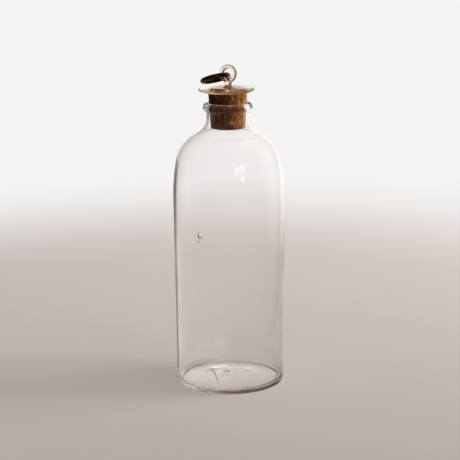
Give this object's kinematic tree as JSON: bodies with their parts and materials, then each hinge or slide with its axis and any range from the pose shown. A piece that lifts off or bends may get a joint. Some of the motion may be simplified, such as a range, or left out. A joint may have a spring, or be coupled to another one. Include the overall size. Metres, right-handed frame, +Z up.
{
  "type": "corked glass bottle",
  "caption": "Round blown glass bottle with a tapered cork; a glass lid with a standing glass loop sits on the cork, and a thick metal pull ring hangs in the loop.",
  "frame": {"origin": "middle of the bottle's foot, on the surface it stands on", "axes": "+Z up the bottle's axis, -Y the front, +X right; the resting metal ring lies to -X"},
  "size_m": [0.0694, 0.0694, 0.2025],
  "materials": {
    "bottle_glass": "clear, fire-polished",
    "cork": "raw cork, worn edges",
    "lid_glass": "clear, fire-polished",
    "dark_bronze": "dark patina, rubbed brighter on the outside"
  },
  "bodies": {
    "bottle": {"glass_bottle": "bottle_glass"},
    "stopper": {"cork_stopper": "cork", "glass_lid": "lid_glass"},
    "ring": {"metal_ring": "dark_bronze"}
  },
  "joints": [
    {"name": "stopper_lift", "type": "slide", "parent": "bottle", "child": "stopper", "axis": [0, 0, 1], "range_m": [0, 0.03]},
    {"name": "ring_swing", "type": "hinge", "parent": "stopper", "child": "ring", "pos_m": [0.0007, 0, 0.1956], "axis": [0, 0.9483, -0.3173], "range_deg": [0, 204]}
  ]
}
